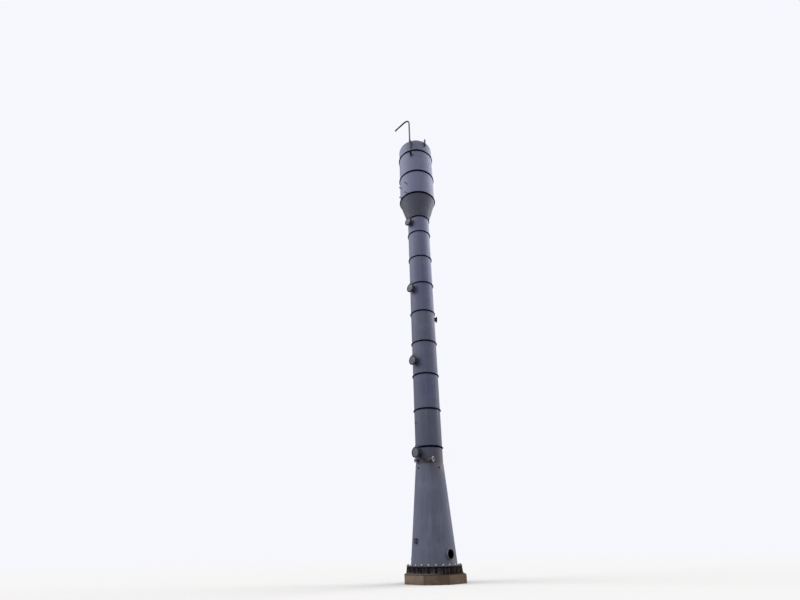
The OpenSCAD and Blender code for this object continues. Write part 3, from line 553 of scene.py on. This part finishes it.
def concrete():
    """The plinth: board-marked and porous, browner at the right, muddy along its foot, and with a
    painted shadow along its top edge.
    """
    t = Tree("concrete")
    cloud = t.noise(1.6, 6.0, 0.6)
    colour = t.mix(t.ramp(cloud, 0.35, 0.68), (0.228, 0.170, 0.130), (0.158, 0.110, 0.082))
    right = t.ramp(t.x, -0.6, 1.2)
    colour = t.mix(t.math("MULTIPLY", right, 0.30), colour, (0.092, 0.052, 0.032))
    rim = top_of("plinth")
    # Painted shadow: a dark band just under the plinth's top edge
    colour = t.mix(t.ramp(t.z, rim - 0.034, rim - 0.028, 0.0, 0.85), colour, (0.030, 0.023, 0.018))
    splash = t.math("MULTIPLY", t.ramp(t.z, 0.30, 0.0), t.ramp(t.noise(3.2, 5.0), 0.32, 0.60))
    colour = t.mix(t.math("MULTIPLY", splash, 0.8), colour, MUD)
    pores = t.noise(55.0, 4.0, 0.7)
    colour = t.mix(t.ramp(pores, 0.60, 0.75, 0.0, 0.5), colour, (0.060, 0.046, 0.036))
    lift = t.noise(5.0, 2.0, stretch=(0.4, 0.4, 2.5))
    t.bump(t.math("ADD", pores, t.math("MULTIPLY", lift, 1.5)), 0.008, 0.7)
    return t.finish(colour, 0.92, specular=0.2)


def zinc(name, light, dark):
    """Galvanized steel with a spangle between two greys."""
    t = Tree(name)
    spangle = t.noise(30.0, 3.0)
    colour = t.mix(t.ramp(spangle, 0.35, 0.70), light, dark)
    t.bump(spangle, 0.001, 0.3)
    return t.finish(colour, 0.45, metallic=0.25)


def dull_bolt(name, light, dark):
    """Bolt steel that has gone dull, worn between two colours."""
    t = Tree(name)
    worn = t.noise(35.0, 4.0)
    colour = t.mix(t.ramp(worn, 0.45, 0.65), light, dark)
    t.bump(worn, 0.001, 0.4)
    return t.finish(colour, 0.6, specular=0.2)


GUSSET_LEAN = (radius_of("chair_ring") - radius_of("base_ring")) / (CHAIR_TOP_Z - CHAIR_Z)
SLOT_MATERIALS = {
    "shell_paint": shell_paint(), "skirt_paint": skirt_paint(), "cover_paint": cover_paint(),
    "ring_paint": ring_paint(), "dark_steel": dark_steel(),
    "pale_primer": faced_primer("pale_primer", "drain_nozzle_bore", (0.085, 0.088, 0.110),
                                (0.045, 0.045, 0.060), (0.34, 0.34, 0.37)),
    "red_primer": red_primer(), "concrete": concrete(),
    "weathered_steel": ring_steel("weathered_steel", top_of("base_ring"),
                                  (0.085, 0.072, 0.062), foot_of("base_ring") + 0.015),
}
FITTING = fitting_paint()
NECK = neck_paint()
NODE_MATERIALS = {
    "access_sleeve": sleeve_primer(), "cone": cone_shaded_paint(),
    # The return nozzle's pale bore is painted light over the bore's shade
    "return_nozzle": faced_primer("return_primer", "return_nozzle_bore", (0.050, 0.052, 0.068),
                                  (0.028, 0.029, 0.040), (0.26, 0.26, 0.29), (0.24, 0.24, 0.26)),
    "chair_ring": ring_steel("chair_ring_steel", top_of("chair_ring"), (0.230, 0.215, 0.210)),
    "lifting_lugs": FITTING, "skirt_vents": FITTING, "davit": davit_paint(),
    **{f"manway_neck_{k + 1}": NECK for k in range(MANWAYS)},
    "chair_gussets": base_steel("gusset_steel", radius_of("chair_gussets"), GUSSET_LEAN, CHAIR_Z),
}
ZINC = zinc("bright_zinc", (0.80, 0.81, 0.85), (0.56, 0.57, 0.60))
DULL_ZINC = zinc("dull_zinc", (0.20, 0.20, 0.22), (0.11, 0.11, 0.12))
BOLT = dull_bolt("dull_bolt", (0.032, 0.032, 0.040), (0.055, 0.028, 0.018))
# The studs' near-black is painted shade in the chairs
STUD = dull_bolt("shaded_stud", (0.010, 0.009, 0.010), (0.016, 0.009, 0.007))


def dress_nodes():
    """Gives every node of the frame the finish of its slot, or one of its own."""
    for part in frame["record"]["subparts"]:
        node = part["node"]
        mesh = NODES[node].data
        mesh.materials.clear()
        mesh.materials.append(NODE_MATERIALS.get(node, SLOT_MATERIALS[part["material_slot"]]))


# Meshes

class Builder:
    """Collects many small solids in one mesh."""

    def __init__(self):
        self.bm = bmesh.new()

    def skin(self, rings, shut=False):
        """Faces from each ring of points to the next, shut to a loop or with both ends capped."""
        rings = [[self.bm.verts.new(point) for point in ring] for ring in rings]
        for low, high in zip(rings, rings[1:] + rings[:1] if shut else rings[1:]):
            for i in range(len(low)):
                j = (i + 1) % len(low)
                self.bm.faces.new((low[i], low[j], high[j], high[i]))
        if not shut:
            self.bm.faces.new(list(reversed(rings[0])))
            self.bm.faces.new(rings[-1])

    def prism(self, place, profile, sides):
        """A turned solid along local +Z: profile is (radius, height) pairs from foot to top."""
        angles = [2 * math.pi * i / sides for i in range(sides)]
        self.skin([[place @ Vector((radius * math.cos(a), radius * math.sin(a), height))
                    for a in angles] for radius, height in profile])

    def nut(self, place, across, thick, foot):
        """A chamfered hexagon nut on local +Z."""
        corner = across / 2 / math.cos(math.pi / 6)
        cut, edge = corner * 0.93, thick * 0.12
        self.prism(place, [(cut, foot), (corner, foot + edge), (corner, foot + thick - edge),
                           (cut, foot + thick)], sides=6)

    def bead(self, radius, z, width=SEAM_W, height=SEAM_H, slope=0.0):
        """A weld bead round the column, its section a low arch; slope is the plate's dr/dz."""
        rings = []
        for a in ARCH:
            up = -math.cos(a) * width / 2
            out = math.sin(a) * height - SINK
            rings.append([
                polar(360 * i / BEAD_SIDES) * (radius + out + slope * up) + Vector((0, 0, z + up))
                for i in range(BEAD_SIDES)])
        self.skin(rings, shut=True)

    def upright_bead(self, az, low, high):
        """A weld bead up the shell or skirt between (radius, z) ends."""
        out, side = polar(az), polar(az + 90)
        rings = []
        for step in range(BEAD_STEPS + 1):
            f = step / BEAD_STEPS
            radius = low[0] + (high[0] - low[0]) * f
            z = low[1] + (high[1] - low[1]) * f
            rings.append([
                out * (radius + math.sin(a) * SEAM_H - SINK) - side * math.cos(a) * SEAM_W / 2
                + Vector((0, 0, z)) for a in ARCH])
        self.skin(rings)

    def make(self, name, material, slot, body="root", smooth=False):
        """Turns what was collected into a piece that rides on a body."""
        bmesh.ops.recalc_face_normals(self.bm, faces=self.bm.faces)
        mesh = bpy.data.meshes.new(name)
        self.bm.to_mesh(mesh)
        self.bm.free()
        mesh.materials.append(material)
        if smooth:
            mesh.polygons.foreach_set("use_smooth", [True] * len(mesh.polygons))
        piece = bpy.data.objects.new(name, mesh)
        bpy.context.scene.collection.objects.link(piece)
        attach(piece, body)


def outward(az, z):
    """A place on the column's axis whose +Z looks outward and whose +Y looks up."""
    turn = Matrix((polar(az + 90), Vector((0, 0, 1)), polar(az))).transposed().to_4x4()
    return Matrix.Translation((0, 0, z)) @ turn


def anchor_places():
    """The anchor bolts' places on the frame's floor."""
    dims = MOUNTS["anchor_circle"]["dims"]
    count, radius = dims["count"], dims["pcd_mm"] / 2000
    return [Matrix.Translation(polar(360 * i / count) * radius) for i in range(count)]


def anchor_bolts():
    """Bolt ends on the chair ring, and in a piece of their own their washers and nuts."""
    seat = top_of("chair_ring")
    end = seat + ANCHOR_OUT
    chamfer_r, chamfer_h = 0.006, 0.008
    ends, nuts = Builder(), Builder()
    for i, place in enumerate(anchor_places()):
        ends.prism(place, [(ANCHOR_R, seat - CHAIR_RING_T + SINK), (ANCHOR_R, end - chamfer_h),
                           (ANCHOR_R - chamfer_r, end)], sides=16)
        nuts.prism(place, [(WASHER_R, seat + GAP), (WASHER_R, seat + WASHER_T)], sides=24)
        turned = place @ Matrix.Rotation(math.radians(ANCHOR_NUT_TURN * i), 4, "Z")
        nuts.nut(turned, ANCHOR_NUT_W, ANCHOR_NUT_T, seat + WASHER_T)
    ends.make("anchor_bolts", ZINC, "pale_primer")
    nuts.make("anchor_nuts", DULL_ZINC, "pale_primer")


def anchor_studs():
    """The bolts' shanks between the two rings, in the dark of the chairs."""
    bevel = 0.002
    low, high = foot_of("base_ring") + bevel, top_of("chair_ring") - CHAIR_RING_T
    b = Builder()
    for place in anchor_places():
        b.prism(place, [(ANCHOR_R - bevel, low), (ANCHOR_R, low + 2 * bevel),
                        (ANCHOR_R, high - bevel), (ANCHOR_R - bevel, high)], sides=16)
    b.make("anchor_studs", STUD, "weathered_steel")


def manway_bolts():
    """Studs with a nut at each end round the four manways."""
    b = Builder()
    back = MANWAY_FACE - FLANGE_T
    front = MANWAY_FACE + GASKET_T + COVER_T
    for k in range(MANWAYS):
        low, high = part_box(f"manway_cover_{k + 1}")
        middle = (low.z + high.z) / 2
        circle_r = (high.z - low.z) / 2 - RIM_TO_BOLTS
        for i in range(MANWAY_BOLTS):
            a = 2 * math.pi * (i + 0.5) / MANWAY_BOLTS
            at = Vector((circle_r * math.cos(a), circle_r * math.sin(a), 0.0))
            place = outward(MANWAY_AZ, middle) @ Matrix.Translation(at)
            b.prism(place, [(STUD_R, back - STUD_OUT), (STUD_R, front + STUD_OUT)], sides=10)
            b.nut(place, STUD_NUT_W, STUD_NUT_T, front + GAP)
            b.nut(place, STUD_NUT_W, STUD_NUT_T, back - GAP - STUD_NUT_T)
    b.make("manway_bolts", BOLT, "dark_steel")


def weld_seams():
    """Beads round and up the shells, staggered from course to course, and at the skirt's top."""
    b = Builder()
    spread = random.Random(7)
    seams = []
    for k in range(1, LOWER_COURSES + 1):
        z0, z1 = foot_of(f"lower_shell_{k}"), top_of(f"lower_shell_{k}")
        middle = (z0 + z1) / 2
        seams += [(SHELL_R, z0, middle), (SHELL_R, middle, z1)]
    for k in range(1, UPPER_COURSES + 1):
        seams.append((WIDE_R, foot_of(f"upper_shell_{k}"), top_of(f"upper_shell_{k}")))
    for number, (radius, z0, z1) in enumerate(seams):
        if number:
            b.bead(radius, z0)
        az = 60 + 97 * (number % 3) + spread.uniform(-8, 8)
        b.upright_bead(az, (radius, z0), (radius, z1))
    b.bead(WIDE_R, top_of(f"upper_shell_{UPPER_COURSES}"))
    b.bead(SHELL_R + FILLET_H / 2, SKIRT_TOP_Z + FILLET_W / 4, FILLET_W, FILLET_H)
    b.make("weld_seams", SLOT_MATERIALS["shell_paint"], "shell_paint", smooth=True)


def skirt_seams():
    """Beads between and up the skirt's two courses."""
    b = Builder()
    heights = top_of("chair_ring"), top_of("skirt_lower"), SKIRT_TOP_Z - FILLET_W
    foot, seam, top = [(skirt_r(z), z) for z in heights]
    slope = (SKIRT_TOP_R - SKIRT_FOOT_R) / (SKIRT_TOP_Z - SKIRT_FOOT_Z)
    b.bead(*seam, slope=slope)
    for az in (-75, 15, 105, 195):
        b.upright_bead(az, foot, seam)
        b.upright_bead(az + 40, seam, top)
    b.make("skirt_seams", SLOT_MATERIALS["skirt_paint"], "skirt_paint", smooth=True)


# Stage

def shown(nodes, links):
    """One for rays that show in the picture, straight, mirrored or through glass, else none."""
    path = nodes.new("ShaderNodeLightPath")
    seen = path.outputs["Is Camera Ray"]
    for kind in ("Is Glossy Ray", "Is Transmission Ray"):
        either = nodes.new("ShaderNodeMath")
        either.operation = "MAXIMUM"
        links.new(seen, either.inputs[0])
        links.new(path.outputs[kind], either.inputs[1])
        seen = either.outputs[0]
    return seen


def stage_floor():
    """A pale floor that fades into the sky; it throws less light upward than it shows."""
    size = 900.0
    bpy.ops.mesh.primitive_plane_add(size=size, location=(0, 0, -0.002))
    floor = bpy.context.object
    floor.name = "stage_floor"
    t = Tree("stage_floor")
    seen = shown(t.nodes, t.links)
    material = t.finish(t.mix(seen, (0.11, 0.105, 0.10), (0.66, 0.65, 0.64)), 0.95, specular=0.0)
    glow = t.nodes.new("ShaderNodeEmission")
    glow.inputs["Color"].default_value = SKY
    far = t.ramp(t.vector("LENGTH", t.place), 9.0, 110.0)
    blend = t.nodes.new("ShaderNodeMixShader")
    t.put(t.math("MULTIPLY", seen, far), blend.inputs[0])
    t.links.new(t.bsdf.outputs[0], blend.inputs[1])
    t.links.new(glow.outputs[0], blend.inputs[2])
    t.links.new(blend.outputs[0], t.out.inputs["Surface"])
    floor.data.materials.append(material)


def stage_world():
    """Overcast light: brighter overhead than at the horizon, and a pale plain sky to look at."""
    world = bpy.data.worlds.new("stage_world")
    bpy.context.scene.world = world
    world.use_nodes = True
    nodes, links = world.node_tree.nodes, world.node_tree.links
    nodes.clear()
    out = nodes.new("ShaderNodeOutputWorld")
    way = nodes.new("ShaderNodeTexCoord")
    split = nodes.new("ShaderNodeSeparateXYZ")
    links.new(way.outputs["Generated"], split.inputs[0])
    height = nodes.new("ShaderNodeMapRange")
    links.new(split.outputs["Z"], height.inputs["Value"])
    height.inputs["From Min"].default_value = 0.0
    height.inputs["From Max"].default_value = 1.0
    height.inputs["To Min"].default_value = 0.50
    height.inputs["To Max"].default_value = 1.00
    light = nodes.new("ShaderNodeBackground")
    light.inputs["Color"].default_value = (0.97, 0.98, 1.0, 1.0)
    links.new(height.outputs[0], light.inputs["Strength"])
    show = nodes.new("ShaderNodeBackground")
    show.inputs["Color"].default_value = SKY
    mix = nodes.new("ShaderNodeMixShader")
    links.new(shown(nodes, links), mix.inputs[0])
    links.new(light.outputs[0], mix.inputs[1])
    links.new(show.outputs[0], mix.inputs[2])
    links.new(mix.outputs[0], out.inputs["Surface"])


def soft_sun(name, toward, strength, spread):
    """A wide soft light that comes from a direction."""
    lamp = bpy.data.lights.new(name, "SUN")
    lamp.energy = strength
    lamp.angle = math.radians(spread)
    sun = bpy.data.objects.new(name, lamp)
    sun.rotation_euler = Vector(toward).to_track_quat("Z", "Y").to_euler()
    bpy.context.scene.collection.objects.link(sun)


def stage_camera():
    """The photograph's camera, pitched up and rolled a little."""
    pitch, roll = math.radians(CAMERA_PITCH), math.radians(CAMERA_ROLL)
    ahead = Vector((0, math.cos(pitch), math.sin(pitch)))
    right = Vector((1, 0, 0))
    up = right.cross(ahead)
    leaned_right = right * math.cos(roll) + up * math.sin(roll)
    leaned_up = up * math.cos(roll) - right * math.sin(roll)
    data = bpy.data.cameras.new("camera")
    data.sensor_width = SENSOR_MM
    data.lens = FOCAL_PX / FRAME_W_PX * SENSOR_MM
    data.shift_x = CENTRE_LEFT_PX / FRAME_W_PX
    data.clip_end = 2000.0
    camera = bpy.data.objects.new("camera", data)
    turn = Matrix((leaned_right, leaned_up, -ahead)).transposed().to_4x4()
    camera.matrix_world = Matrix.Translation(CAMERA_AT) @ turn
    bpy.context.scene.collection.objects.link(camera)
    bpy.context.scene.camera = camera


stage_camera()
dress_nodes()
anchor_bolts()
anchor_studs()
manway_bolts()
weld_seams()
skirt_seams()
stage_floor()
stage_world()
soft_sun("left_light", (-0.98, -0.05, 0.55), 1.9, 50)
soft_sun("right_rim_light", (0.92, 0.36, 0.50), 2.2, 50)
bpy.context.scene.view_settings.view_transform = "Standard"
